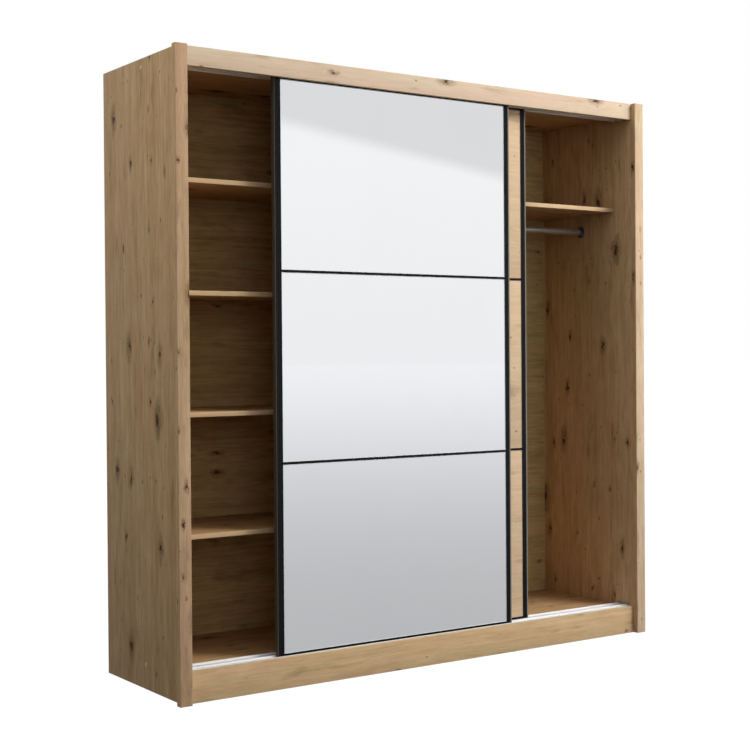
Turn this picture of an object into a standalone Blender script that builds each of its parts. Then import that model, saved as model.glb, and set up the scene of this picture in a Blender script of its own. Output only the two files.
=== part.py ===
"""Free-standing wardrobe with two sliding doors, a mirrored one in front of a wooden one.

Metres, +Z up. The origin is on the floor, under the middle of the wardrobe. The front faces -Y.
The doors stand part way along their tracks, so that both compartments are open a little.
"""

import math

import bmesh
import bpy
from mathutils import Vector

MM = 0.001

# Carcass
WIDTH = 2008 * MM
DEPTH = 580 * MM
HEIGHT = 2100 * MM
GAP = 0.3 * MM
BOARD = 16 * MM
BOARD_EDGE = 0.8 * MM
SIDE_THICKNESS = 43 * MM
POST_DEPTH = 24 * MM
SIDE_BOTTOM = 12 * MM
SIDE_TOP = 2090 * MM
FASCIA_SETBACK = 24 * MM
TOP_RAIL_HEIGHT = 63 * MM
PLINTH_HEIGHT = 104 * MM
FLOOR_LEVEL = 102 * MM
CEILING_LEVEL = 2054 * MM
BACK_THICKNESS = 3 * MM
BACK_INSET = 2 * MM
STRIP_WIDTH = 30 * MM
STRIP_THICKNESS = 0.9 * MM
REAR_PLINTH_SETBACK = 20 * MM
CAP_RADIUS = 6 * MM
CAP_THICKNESS = 1.5 * MM
CAP_SETBACK = 260 * MM
CAP_EDGE = 0.3 * MM
SHELF_SETBACK = 129 * MM
LEFT_SHELF_TOPS = (527 * MM, 927 * MM, 1326 * MM, 1695 * MM)
RIGHT_SHELF_TOP = 1695 * MM

# Hanging rail
RAIL_RADIUS = 12.5 * MM
RAIL_WALL = 1 * MM
RAIL_SETBACK = 330 * MM
RAIL_LEVEL = 1612 * MM
FLANGE_RADIUS = 24 * MM
FLANGE_THICKNESS = 4 * MM
SOCKET_WALL = 3 * MM
SOCKET_DEPTH = 12 * MM

# Tracks: a lane for each door, one behind the other
LANE_PITCH = 44 * MM
TRACK_FRONT = 41 * MM
LOWER_TRACK_WIDTH = 86 * MM
LOWER_TRACK_BASE = 1.2 * MM
LOWER_LIP_HEIGHT = 3.2 * MM
RIDGE_HEIGHT = 6.2 * MM
RIDGE_WIDTH = 1.6 * MM
UPPER_TRACK_HEIGHT = 12.7 * MM
UPPER_WEB = 1.7 * MM
UPPER_FLANGE = 2 * MM
UPPER_MIDDLE = 13 * MM
UPPER_LANE = 31 * MM
STOP_THICKNESS = 6 * MM
STOP_HEIGHT = 6 * MM

# Doors
DOOR_WIDTH = 991 * MM
DOOR_BOTTOM = 105 * MM
DOOR_TOP = 2049 * MM
DOOR_FRONT = 45 * MM
DOOR_DEPTH = 22 * MM
MIRROR_DOOR_LEFT = 376 * MM
WOOD_DOOR_LEFT = 490 * MM
STILE_WIDTH = 24 * MM
PROFILE_SKIN = 2 * MM
SLOT_DEPTH = 8 * MM
PANEL_THICKNESS = 10 * MM
PANEL_GAP = 0.3 * MM
NOTCH_HEIGHT = 11 * MM
BOTTOM_LIP_TOP = 112.5 * MM
BOTTOM_PROFILE_TOP = 142 * MM
TOP_LIP_BOTTOM = 2034 * MM
DIVIDER_LEVELS = (750 * MM, 1394 * MM)
DIVIDER_FRONT = 8.5 * MM
DIVIDER_REAR = 12 * MM
DIVIDER_WEB = 1.4 * MM

# Rollers and guides
WHEEL_TREAD_RADIUS = 9.5 * MM
WHEEL_RIM_RADIUS = 12 * MM
WHEEL_WIDTH = 4.6 * MM
WHEEL_BORE = 2.5 * MM
AXLE_RADIUS = 2.2 * MM
WHEEL_OFFSET = 18.5 * MM
WHEEL_INSET = 110 * MM
BRACKET_LENGTH = 70 * MM
GUIDE_LENGTH = 60 * MM
GUIDE_INSET = 90 * MM
GUIDE_DROP = 20 * MM

# Places that follow from the sizes above
LEFT = -WIDTH / 2
FRONT = -DEPTH / 2
INNER = WIDTH / 2 - SIDE_THICKNESS
BACK_FACE = DEPTH / 2 - STRIP_THICKNESS - GAP - BACK_THICKNESS
CARCASS_BACK = BACK_FACE - GAP
PLINTH_FRONT = FRONT + FASCIA_SETBACK
DECK_FRONT = PLINTH_FRONT + BOARD + GAP
SHELF_FRONT = FRONT + SHELF_SETBACK
SLOT_WIDTH = PANEL_THICKNESS + 2 * PANEL_GAP
SLOT_BACK = PROFILE_SKIN + SLOT_WIDTH
WEB_BACK = SLOT_BACK + PROFILE_SKIN
TRACK_FLOOR = FLOOR_LEVEL + GAP
RIDGE_TOP = TRACK_FLOOR + RIDGE_HEIGHT
WHEEL_AXIS = RIDGE_TOP + GAP + WHEEL_TREAD_RADIUS
ROUND_STEPS = 32

FINISHES = {
    "oak": ((0.60, 0.45, 0.31), 0.6, 0.0),
    "oak_edge": ((0.72, 0.58, 0.43), 0.6, 0.0),
    "oak_shelf": ((0.55, 0.42, 0.29), 0.6, 0.0),
    "hardboard": ((0.36, 0.28, 0.18), 0.7, 0.0),
    "black_profile": ((0.02, 0.02, 0.02), 0.4, 0.6),
    "mirror_glass": ((0.86, 0.88, 0.90), 0.03, 1.0),
    "aluminium_track": ((0.80, 0.81, 0.82), 0.35, 1.0),
    "rail_steel": ((0.50, 0.51, 0.52), 0.3, 1.0),
    "black_plastic": ((0.04, 0.04, 0.04), 0.55, 0.0),
    "grey_plastic": ((0.35, 0.35, 0.36), 0.5, 0.0),
    "cap_plastic": ((0.66, 0.52, 0.42), 0.5, 0.0),
    "bracket_steel": ((0.62, 0.62, 0.64), 0.35, 1.0),
}


def clear_scene():
    for obj in list(bpy.data.objects):
        bpy.data.objects.remove(obj, do_unlink=True)


def make_materials():
    for name, (colour, roughness, metallic) in FINISHES.items():
        material = bpy.data.materials.new(name)
        material.use_nodes = True
        shader = material.node_tree.nodes["Principled BSDF"]
        shader.inputs["Base Color"].default_value = (*colour, 1.0)
        shader.inputs["Roughness"].default_value = roughness
        shader.inputs["Metallic"].default_value = metallic


def add_object(name, bm, place, finish, parent=None):
    """Links the bmesh as an object whose origin is at place."""
    bmesh.ops.recalc_face_normals(bm, faces=bm.faces)
    mesh = bpy.data.meshes.new(name)
    bm.to_mesh(mesh)
    bm.free()
    mesh.materials.append(bpy.data.materials[finish])
    obj = bpy.data.objects.new(name, mesh)
    bpy.context.scene.collection.objects.link(obj)
    obj.location = place
    obj.parent = parent
    return obj


def bevel(obj, width, segments=1):
    modifier = obj.modifiers.new("Bevel", "BEVEL")
    modifier.width = width
    modifier.segments = segments
    modifier.limit_method = "ANGLE"
    modifier.angle_limit = math.radians(40)


def add_block(name, low, high, finish, edge=BOARD_EDGE, parent=None):
    """A straight board or block between two opposite corners."""
    low, high = Vector(low), Vector(high)
    bm = bmesh.new()
    bmesh.ops.create_cube(bm, size=1.0)
    bmesh.ops.scale(bm, vec=high - low, verts=bm.verts)
    obj = add_object(name, bm, (low + high) / 2, finish, parent)
    if edge:
        bevel(obj, edge)
    return obj


def add_extrusion(name, outline, axis, length, place, finish, parent=None):
    """An outline of two coordinates, pushed along the X or Z axis through length from place."""
    bm = bmesh.new()
    if axis == "X":
        verts = [bm.verts.new((0, a, b)) for a, b in outline]
        step = Vector((length, 0, 0))
    else:
        verts = [bm.verts.new((a, b, 0)) for a, b in outline]
        step = Vector((0, 0, length))
    face = bm.faces.new(verts)
    pushed = bmesh.ops.extrude_face_region(bm, geom=[face])["geom"]
    moved = [item for item in pushed if isinstance(item, bmesh.types.BMVert)]
    bmesh.ops.translate(bm, vec=step, verts=moved)
    return add_object(name, bm, place, finish, parent)


def add_turned(name, profile, direction, place, finish, parent=None):
    """A closed profile of (radius, distance) turned about the given direction."""
    bm = bmesh.new()
    ring_points = []
    for step in range(ROUND_STEPS):
        angle = 2 * math.pi * step / ROUND_STEPS
        turn = Vector((math.cos(angle), math.sin(angle), 0))
        ring_points.append([bm.verts.new(turn * r + Vector((0, 0, d))) for r, d in profile])
    for step in range(ROUND_STEPS):
        here, after = ring_points[step], ring_points[(step + 1) % ROUND_STEPS]
        for index in range(len(profile)):
            following = (index + 1) % len(profile)
            bm.faces.new((here[index], after[index], after[following], here[following]))
    to_direction = Vector((0, 0, 1)).rotation_difference(Vector(direction)).to_matrix().to_4x4()
    bmesh.ops.transform(bm, matrix=to_direction, verts=bm.verts)
    obj = add_object(name, bm, place, finish, parent)
    shade_round(obj)
    return obj


def add_rod(name, radius, start, end, finish, parent=None):
    """A solid round bar from start to end."""
    start, end = Vector(start), Vector(end)
    length = (end - start).length
    bm = bmesh.new()
    bmesh.ops.create_cone(
        bm, cap_ends=True, segments=ROUND_STEPS, radius1=radius, radius2=radius, depth=length
    )
    turn = Vector((0, 0, 1)).rotation_difference(end - start).to_matrix().to_4x4()
    bmesh.ops.transform(bm, matrix=turn, verts=bm.verts)
    obj = add_object(name, bm, (start + end) / 2, finish, parent)
    shade_round(obj)
    return obj


def shade_round(obj):
    obj.data.shade_smooth()
    obj.data.set_sharp_from_angle(angle=math.radians(35))


def hide_helper(obj):
    obj.hide_render = True
    obj.display_type = "WIRE"


def combine(obj, other, operation):
    """A Boolean between the object and a hidden helper."""
    modifier = obj.modifiers.new(operation.title(), "BOOLEAN")
    modifier.operation = operation
    modifier.object = other
    hide_helper(other)


def make_sides():
    """Each side is a thick panel with a post on its front edge, which alone reaches the floor."""
    for name, left in (("left", LEFT), ("right", INNER)):
        right = left + SIDE_THICKNESS
        panel = add_block(
            f"{name}_side_panel",
            (left, FRONT + POST_DEPTH + GAP, SIDE_BOTTOM),
            (right, CARCASS_BACK, SIDE_TOP),
            "oak",
        )
        add_block(
            f"{name}_front_post", (left, FRONT, 0), (right, FRONT + POST_DEPTH, HEIGHT), "oak_edge"
        )
        outer, inward = (left, 1) if name == "left" else (right, -1)
        make_cover_caps(name, panel, outer, inward)


def make_cover_caps(side, panel, outer, inward):
    """Flush caps, sunk in the outer face over the screws into the top and bottom panels."""
    y = FRONT + CAP_SETBACK
    for where, z in (("top", CEILING_LEVEL + BOARD / 2), ("bottom", FLOOR_LEVEL - BOARD / 2)):
        pocket = add_rod(
            f"{side}_{where}_cap_pocket",
            CAP_RADIUS + GAP,
            (outer - inward * MM, y, z),
            (outer + inward * (CAP_THICKNESS + GAP), y, z),
            "oak",
        )
        combine(panel, pocket, "DIFFERENCE")
        cap = add_rod(
            f"{side}_{where}_cover_cap",
            CAP_RADIUS,
            (outer, y, z),
            (outer + inward * CAP_THICKNESS, y, z),
            "cap_plastic",
        )
        bevel(cap, CAP_EDGE)


def make_horizontal_boards():
    left, right = -INNER + GAP, INNER - GAP
    back = PLINTH_FRONT + BOARD
    add_block(
        "top_rail",
        (left, PLINTH_FRONT, HEIGHT - TOP_RAIL_HEIGHT),
        (right, back, HEIGHT),
        "oak_edge",
    )
    add_block("front_plinth", (left, PLINTH_FRONT, 0), (right, back, PLINTH_HEIGHT), "oak")
    add_block(
        "top_panel",
        (left, DECK_FRONT, CEILING_LEVEL),
        (right, CARCASS_BACK, CEILING_LEVEL + BOARD),
        "oak",
    )
    add_block(
        "bottom_panel",
        (left, DECK_FRONT, FLOOR_LEVEL - BOARD),
        (right, CARCASS_BACK, FLOOR_LEVEL),
        "oak_shelf",
    )
    under = FLOOR_LEVEL - BOARD - GAP
    rear = CARCASS_BACK - REAR_PLINTH_SETBACK
    add_block("rear_plinth", (left, rear - BOARD, 0), (right, rear, under), "oak")
    add_block(
        "centre_support",
        (-BOARD / 2, DECK_FRONT, 0),
        (BOARD / 2, rear - BOARD - GAP, under),
        "oak",
    )


def make_interior():
    add_block(
        "centre_divider",
        (-BOARD / 2, SHELF_FRONT, FLOOR_LEVEL + GAP),
        (BOARD / 2, CARCASS_BACK, CEILING_LEVEL - GAP),
        "oak_shelf",
    )
    for number, top in enumerate(LEFT_SHELF_TOPS, start=1):
        add_block(
            f"left_shelf_{number}",
            (-INNER + GAP, SHELF_FRONT, top - BOARD),
            (-BOARD / 2 - GAP, CARCASS_BACK, top),
            "oak_shelf",
        )
    add_block(
        "right_shelf",
        (BOARD / 2 + GAP, SHELF_FRONT, RIGHT_SHELF_TOP - BOARD),
        (INNER - GAP, CARCASS_BACK, RIGHT_SHELF_TOP),
        "oak_shelf",
    )


def make_back():
    """Two thin panels over the back edges of the carcass, joined by a T-shaped strip."""
    low, high = SIDE_BOTTOM + BACK_INSET, SIDE_TOP - BACK_INSET
    half_joint = STRIP_THICKNESS / 2
    edge = WIDTH / 2 - BACK_INSET
    for name, left, right in (
        ("left", -edge, -half_joint - GAP),
        ("right", half_joint + GAP, edge),
    ):
        add_block(
            f"{name}_back_panel",
            (left, BACK_FACE, low),
            (right, BACK_FACE + BACK_THICKNESS, high),
            "hardboard",
            edge=0,
        )
    outside = DEPTH / 2
    lip = outside - STRIP_THICKNESS
    strip = [
        (-STRIP_WIDTH / 2, outside),
        (-STRIP_WIDTH / 2, lip),
        (-half_joint, lip),
        (-half_joint, BACK_FACE),
        (half_joint, BACK_FACE),
        (half_joint, lip),
        (STRIP_WIDTH / 2, lip),
        (STRIP_WIDTH / 2, outside),
    ]
    add_extrusion("back_joint_strip", strip, "Z", high - low, (0, 0, low), "grey_plastic")


def make_hanging_rail():
    """A tube from wall to wall, each end held in the collar of a flange on the wall."""
    y = FRONT + RAIL_SETBACK
    left, right = BOARD / 2 + GAP, INNER - GAP
    length = right - left - 2 * GAP
    inside = RAIL_RADIUS - RAIL_WALL
    tube = [(inside, 0), (RAIL_RADIUS, 0), (RAIL_RADIUS, length), (inside, length)]
    add_turned("hanging_rail", tube, (1, 0, 0), (left + GAP, y, RAIL_LEVEL), "rail_steel")
    socket = RAIL_RADIUS + GAP
    collar = socket + SOCKET_WALL
    flange = [
        (socket, 0),
        (FLANGE_RADIUS, 0),
        (FLANGE_RADIUS, FLANGE_THICKNESS),
        (collar, FLANGE_THICKNESS),
        (collar, SOCKET_DEPTH),
        (socket, SOCKET_DEPTH),
    ]
    for name, x, direction in (("left", left, (1, 0, 0)), ("right", right, (-1, 0, 0))):
        add_turned(
            f"rail_flange_{name}", flange, direction, (x, y, RAIL_LEVEL), "black_plastic"
        )


def make_lower_track():
    """A flat base with a running ridge under each lane and a low lip along both edges."""
    front = FRONT + TRACK_FRONT
    back = front + LOWER_TRACK_WIDTH
    lip = UPPER_FLANGE
    outline = [(front, 0), (back, 0), (back, LOWER_LIP_HEIGHT), (back - lip, LOWER_LIP_HEIGHT)]
    outline.append((back - lip, LOWER_TRACK_BASE))
    for lane in (1, 0):
        ridge = FRONT + DOOR_FRONT + WHEEL_OFFSET + lane * LANE_PITCH
        outline += [
            (ridge + RIDGE_WIDTH / 2, LOWER_TRACK_BASE),
            (ridge + RIDGE_WIDTH / 2, RIDGE_HEIGHT),
            (ridge - RIDGE_WIDTH / 2, RIDGE_HEIGHT),
            (ridge - RIDGE_WIDTH / 2, LOWER_TRACK_BASE),
        ]
    outline += [(front + lip, LOWER_TRACK_BASE), (front + lip, LOWER_LIP_HEIGHT)]
    outline.append((front, LOWER_LIP_HEIGHT))
    length = 2 * (INNER - GAP)
    add_extrusion(
        "lower_track", outline, "X", length, (-INNER + GAP, 0, TRACK_FLOOR), "aluminium_track"
    )


def make_upper_track():
    """Two channels that open downwards, with a hollow between them."""
    front = FRONT + TRACK_FRONT
    top = UPPER_TRACK_HEIGHT
    under = top - UPPER_WEB
    lane_1 = front + UPPER_FLANGE
    middle = lane_1 + UPPER_LANE
    lane_2 = middle + UPPER_MIDDLE
    rear = lane_2 + UPPER_LANE
    outline = [
        (front, top),
        (front, 0),
        (lane_1, 0),
        (lane_1, under),
        (middle, under),
        (middle, 0),
        (lane_2, 0),
        (lane_2, under),
        (rear, under),
        (rear, 0),
        (rear + UPPER_FLANGE, 0),
        (rear + UPPER_FLANGE, top),
    ]
    length = 2 * (INNER - GAP)
    place = (-INNER + GAP, 0, CEILING_LEVEL - GAP - top)
    add_extrusion("upper_track", outline, "X", length, place, "aluminium_track")


def make_door_stops():
    """A buffer on each side wall, just above the track, across both lanes."""
    front = FRONT + DOOR_FRONT
    back = front + LANE_PITCH + DOOR_DEPTH
    low = RIDGE_TOP + GAP
    for name, left in (("left", -INNER + GAP), ("right", INNER - GAP - STOP_THICKNESS)):
        add_block(
            f"{name}_door_stop",
            (left, front, low),
            (left + STOP_THICKNESS, back, low + STOP_HEIGHT),
            "grey_plastic",
        )


def stile_outline():
    """The left stile seen from above: a finger grip, a slot for the panels, an open back."""
    rib, lip = 7 * MM, 3 * MM
    hollow = 1.2 * MM
    wall = 2.2 * MM
    back_lip = 9 * MM
    corner = 1.2 * MM
    return [
        (0, corner),
        (corner, 0),
        (rib, 0),
        (rib + hollow, hollow),
        (STILE_WIDTH - lip - hollow, hollow),
        (STILE_WIDTH - lip, 0),
        (STILE_WIDTH, 0),
        (STILE_WIDTH, PROFILE_SKIN),
        (STILE_WIDTH - SLOT_DEPTH, PROFILE_SKIN),
        (STILE_WIDTH - SLOT_DEPTH, SLOT_BACK),
        (STILE_WIDTH, SLOT_BACK),
        (STILE_WIDTH, WEB_BACK),
        (wall, WEB_BACK),
        (wall, DOOR_DEPTH - wall),
        (back_lip, DOOR_DEPTH - wall),
        (back_lip, DOOR_DEPTH),
        (0, DOOR_DEPTH),
    ]


def bottom_outline():
    """The bottom profile from the side: a lip, a ledge under the panel, a web, a flange."""
    flange = PROFILE_SKIN
    drop = 8 * MM
    return [
        (0, 0),
        (WEB_BACK, 0),
        (WEB_BACK, BOTTOM_PROFILE_TOP - flange - DOOR_BOTTOM),
        (DOOR_DEPTH - flange, BOTTOM_PROFILE_TOP - flange - DOOR_BOTTOM),
        (DOOR_DEPTH - flange, BOTTOM_PROFILE_TOP - drop - DOOR_BOTTOM),
        (DOOR_DEPTH, BOTTOM_PROFILE_TOP - drop - DOOR_BOTTOM),
        (DOOR_DEPTH, BOTTOM_PROFILE_TOP - DOOR_BOTTOM),
        (SLOT_BACK, BOTTOM_PROFILE_TOP - DOOR_BOTTOM),
        (SLOT_BACK, PROFILE_SKIN),
        (PROFILE_SKIN, PROFILE_SKIN),
        (PROFILE_SKIN, BOTTOM_LIP_TOP - DOOR_BOTTOM),
        (0, BOTTOM_LIP_TOP - DOOR_BOTTOM),
    ]


def top_outline():
    """The top profile from the side: an inverted channel over the panel."""
    height = DOOR_TOP - TOP_LIP_BOTTOM
    return [
        (0, 0),
        (PROFILE_SKIN, 0),
        (PROFILE_SKIN, height - PROFILE_SKIN),
        (SLOT_BACK, height - PROFILE_SKIN),
        (SLOT_BACK, 0),
        (WEB_BACK, 0),
        (WEB_BACK, height),
        (0, height),
    ]


def divider_outline():
    """The bar between two panels from the side: an I section, thin in front."""
    front, rear, web = DIVIDER_FRONT / 2, DIVIDER_REAR / 2, DIVIDER_WEB / 2
    return [
        (0, -front),
        (PROFILE_SKIN, -front),
        (PROFILE_SKIN, -web),
        (SLOT_BACK, -web),
        (SLOT_BACK, -rear),
        (WEB_BACK, -rear),
        (WEB_BACK, rear),
        (SLOT_BACK, rear),
        (SLOT_BACK, web),
        (PROFILE_SKIN, web),
        (PROFILE_SKIN, front),
        (0, front),
    ]


def make_stiles(door, origin):
    """Both stiles, each notched at the bottom to pass over the track's ridge."""
    height = DOOR_TOP - DOOR_BOTTOM
    outlines = {"left": stile_outline()}
    outlines["right"] = [(DOOR_WIDTH - x, y) for x, y in stile_outline()]
    for side, outline in outlines.items():
        name = f"{door}_{side}_stile"
        stile = add_extrusion(
            name, outline, "Z", height, (0, 0, DOOR_BOTTOM), "black_profile", origin
        )
        left = 0 if side == "left" else DOOR_WIDTH - STILE_WIDTH
        cutter = add_block(
            f"{name}_notch",
            (left - MM, WEB_BACK + MM / 2, DOOR_BOTTOM - MM),
            (left + STILE_WIDTH + MM, DOOR_DEPTH + MM, DOOR_BOTTOM + NOTCH_HEIGHT),
            "black_profile",
            0,
            origin,
        )
        combine(stile, cutter, "DIFFERENCE")


def make_panels(door, origin, panel_name, finish):
    """Three panels, from the ledge to the top profile, with a bar between each two."""
    left = STILE_WIDTH - SLOT_DEPTH + PANEL_GAP
    levels = [DOOR_BOTTOM + PROFILE_SKIN, *DIVIDER_LEVELS, DOOR_TOP - PROFILE_SKIN]
    for number in range(3):
        low = levels[number] + PANEL_GAP
        high = levels[number + 1] - PANEL_GAP
        if number > 0:
            low += DIVIDER_WEB / 2
        if number < 2:
            high -= DIVIDER_WEB / 2
        add_block(
            f"{door}_{panel_name}_{number + 1}",
            (left, PROFILE_SKIN + PANEL_GAP, low),
            (DOOR_WIDTH - left, SLOT_BACK - PANEL_GAP, high),
            finish,
            0.5 * MM,
            origin,
        )


def make_crossbars(door, origin):
    left = STILE_WIDTH + GAP
    length = DOOR_WIDTH - 2 * left
    bars = [("bottom_profile", bottom_outline(), DOOR_BOTTOM)]
    bars.append(("top_profile", top_outline(), TOP_LIP_BOTTOM))
    for number, level in enumerate(DIVIDER_LEVELS, start=1):
        bars.append((f"divider_{number}", divider_outline(), level))
    for name, outline, level in bars:
        add_extrusion(
            f"{door}_{name}", outline, "X", length, (left, 0, level), "black_profile", origin
        )


def wheel_profile():
    half = WHEEL_WIDTH / 2
    chamfer = 0.4 * MM
    groove = RIDGE_WIDTH / 2 + GAP
    rim = groove + chamfer
    return [
        (WHEEL_BORE, -half),
        (WHEEL_RIM_RADIUS - chamfer, -half),
        (WHEEL_RIM_RADIUS, -half + chamfer),
        (WHEEL_RIM_RADIUS, -rim),
        (WHEEL_TREAD_RADIUS, -groove),
        (WHEEL_TREAD_RADIUS, groove),
        (WHEEL_RIM_RADIUS, rim),
        (WHEEL_RIM_RADIUS, half - chamfer),
        (WHEEL_RIM_RADIUS - chamfer, half),
        (WHEEL_BORE, half),
    ]


def make_rollers(door, origin):
    """A grooved wheel near each end of the bottom profile, on the axle of its bracket."""
    plate_front = WEB_BACK + GAP
    plate_back = WHEEL_OFFSET - WHEEL_WIDTH / 2 - GAP
    low = DOOR_BOTTOM + PROFILE_SKIN
    high = BOTTOM_PROFILE_TOP - PROFILE_SKIN - GAP
    for side, x in (("left", WHEEL_INSET), ("right", DOOR_WIDTH - WHEEL_INSET)):
        bracket = add_block(
            f"{door}_{side}_roller_bracket",
            (x - BRACKET_LENGTH / 2, plate_front, low),
            (x + BRACKET_LENGTH / 2, plate_back, high),
            "bracket_steel",
            0,
            origin,
        )
        axle = add_rod(
            f"{door}_{side}_axle_helper",
            AXLE_RADIUS,
            (x, plate_back - 0.5 * MM, WHEEL_AXIS),
            (x, DOOR_DEPTH - 0.5 * MM, WHEEL_AXIS),
            "bracket_steel",
            origin,
        )
        combine(bracket, axle, "UNION")
        add_turned(
            f"{door}_{side}_wheel",
            wheel_profile(),
            (0, 1, 0),
            (x, WHEEL_OFFSET, WHEEL_AXIS),
            "grey_plastic",
            origin,
        )


def make_guides(door, origin):
    """Two plastic shoes behind the top profile that slide in the upper track's lane."""
    back = TRACK_FRONT + UPPER_FLANGE + UPPER_LANE - DOOR_FRONT - 0.6 * MM
    top = CEILING_LEVEL - GAP - UPPER_WEB - MM
    for side, x in (("left", GUIDE_INSET), ("right", DOOR_WIDTH - GUIDE_INSET)):
        add_block(
            f"{door}_{side}_top_guide",
            (x - GUIDE_LENGTH / 2, WEB_BACK + GAP, top - GUIDE_DROP),
            (x + GUIDE_LENGTH / 2, back, top),
            "grey_plastic",
            parent=origin,
        )


def make_door(door, left, lane, panel_name, panel_finish):
    """One door, built in its own frame: X from its left edge, Y from its front, Z from the floor."""
    origin = bpy.data.objects.new(f"{door}_origin", None)
    bpy.context.scene.collection.objects.link(origin)
    origin.location = (LEFT + left, FRONT + DOOR_FRONT + lane * LANE_PITCH, 0)
    make_stiles(door, origin)
    make_crossbars(door, origin)
    make_panels(door, origin, panel_name, panel_finish)
    make_rollers(door, origin)
    make_guides(door, origin)


def main():
    clear_scene()
    make_materials()
    make_sides()
    make_horizontal_boards()
    make_interior()
    make_back()
    make_hanging_rail()
    make_lower_track()
    make_upper_track()
    make_door_stops()
    make_door("mirror_door", MIRROR_DOOR_LEFT, 0, "mirror", "mirror_glass")
    make_door("wood_door", WOOD_DOOR_LEFT, 1, "panel", "oak_edge")


main()
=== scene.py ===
"""The looks of the sliding door wardrobe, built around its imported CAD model."""

import math
import random

import bmesh
import bpy
from mathutils import Matrix, Vector


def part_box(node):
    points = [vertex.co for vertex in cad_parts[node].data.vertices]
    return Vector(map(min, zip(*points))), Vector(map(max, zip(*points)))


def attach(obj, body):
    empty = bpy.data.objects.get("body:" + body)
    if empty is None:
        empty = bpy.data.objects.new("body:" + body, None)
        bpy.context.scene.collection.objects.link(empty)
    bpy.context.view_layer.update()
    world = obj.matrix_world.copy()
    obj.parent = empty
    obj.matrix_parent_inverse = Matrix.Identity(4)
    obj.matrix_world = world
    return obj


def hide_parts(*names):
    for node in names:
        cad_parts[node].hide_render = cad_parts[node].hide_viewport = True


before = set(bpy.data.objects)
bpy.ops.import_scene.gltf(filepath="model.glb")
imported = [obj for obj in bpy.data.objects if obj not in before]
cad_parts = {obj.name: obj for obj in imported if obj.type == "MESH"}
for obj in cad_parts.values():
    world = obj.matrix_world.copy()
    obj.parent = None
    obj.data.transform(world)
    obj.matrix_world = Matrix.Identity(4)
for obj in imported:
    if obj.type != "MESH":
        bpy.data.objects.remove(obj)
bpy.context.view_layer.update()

MM = 0.001
AXES = {"X": 0, "Y": 1, "Z": 2}
DOORS = ("mirror_door", "wood_door")
SIDES = ("left", "right")
INWARD = {"left": 1, "right": -1}
PANELS = (1, 2, 3)

# Door profiles, as in the CAD
SKIN = 2.0 * MM
SLOT_BACK = 12.6 * MM
WEB_BACK = 14.6 * MM
SLOT_DEPTH = 8.0 * MM
NOTCH_HEIGHT = 11.0 * MM
BOTTOM_LIP = 7.5 * MM
DIVIDER_LIP = 4.25 * MM

# Boards and fixings
BOARD_EDGE = 0.8 * MM
FASCIA_EDGE = 1.2 * MM
POST_EDGE = 1.8 * MM
PIN_HEAD = 3.2 * MM
PIN_PITCH = 118 * MM
PIN_INSET = 9 * MM
TRACK_SCREWS = 7
TRACK_SCREW_INSET = 60 * MM
TRACK_SCREW = 2.6 * MM

# Colours, as 8-bit display values
KNOT = (78, 43, 26)
OAKS = {
    "oak": {"light": (226, 193, 152), "dark": (184, 146, 104), "share": 0.5, "contrast": 1.25},
    "oak_plinth": {"light": (222, 191, 153), "dark": (185, 152, 112), "share": 0.1, "size": 0.6},
    # Both posts are one oak; the right post's copy is paler, painted light for the light falling
    # from the right.
    "oak_post": {"light": (206, 175, 144), "dark": (168, 134, 100), "share": 0.6, "size": 0.7},
    "oak_post_painted_light": {"light": (225, 201, 175), "dark": (183, 154, 122), "share": 0.6, "size": 0.7},
    # The top rail's copy is paler than the other front oak: painted light for the top of the front
    # being better lit.
    "oak_rail_painted_light": {
        "light": (223, 201, 180),
        "dark": (198, 171, 143),
        "share": 0.3,
        "contrast": 0.8,
        "size": 0.6,
    },
    "oak_door": {"light": (217, 192, 164), "dark": (193, 164, 130), "share": 0.32, "contrast": 0.9},
    "oak_edge": {"light": (222, 194, 158), "dark": (194, 162, 124), "share": 0.0},
    # The inside boards' copy is darker than the outside oak: painted shade for the dim inside of
    # the carcass.
    "oak_inside_painted_shade": {"light": (204, 168, 126), "dark": (164, 127, 88), "share": 0.4},
    "hardboard": {
        "light": (224, 195, 144),
        "dark": (168, 140, 95),
        "share": 0.1,
        "contrast": 1.2,
        "size": 0.6,
        "roughness": 0.6,
        "cool": 0.9,
    },
}

# Colour, roughness, metallic, scale of the hair lines along X, Y and Z, and gloss
METALS = {
    "black_profile": ((15, 15, 16), 0.28, 0.0, (900, 900, 4), 0.12),
    "black_bar": ((15, 15, 16), 0.28, 0.0, (4, 900, 900), 0.12),
    # The flank and edge colours are painted light: a painted reflection on a stile's flank and a
    # painted highlight on its rib.
    "profile_flank_painted_reflection": ((74, 68, 60), 0.4, 0.0, (900, 900, 4), 0.2),
    "profile_edge_painted_highlight": ((128, 123, 115), 0.4, 0.0, (900, 900, 4), 0.2),
    "aluminium_track": ((246, 246, 246), 0.36, 0.15, (3, 700, 700), 0.5),
    "aluminium_dull": ((240, 230, 218), 0.5, 0.0, (3, 700, 700), 0.3),
    "rail_steel": ((182, 177, 168), 0.3, 0.6, (6, 500, 500), 0.5),
    "bracket_steel": ((196, 198, 202), 0.3, 1.0, (400, 400, 30), 0.5),
}

# Colour, roughness and gloss
PLASTICS = {
    "hardboard_rear": ((168, 134, 97), 0.75, 0.2),
    # The mirror seal is near-white as a painted highlight along the glass edge.
    "seal_painted_highlight": ((232, 234, 236), 0.35, 0.4),
    "black_plastic": ((78, 78, 77), 0.45, 0.4),
    "grey_plastic": ((150, 150, 150), 0.45, 0.4),
    "wheel_plastic": ((196, 196, 194), 0.4, 0.4),
    "cap_plastic": ((226, 202, 172), 0.5, 0.4),
    "strip_plastic": ((226, 224, 218), 0.45, 0.4),
    "backing": ((112, 116, 122), 0.6, 0.4),
}

# The studio: what the floor and the world send to the camera, the mirror and the wood
FLOOR_RADIUS = 150
FLOOR_TO_CAMERA = 1.08
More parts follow.
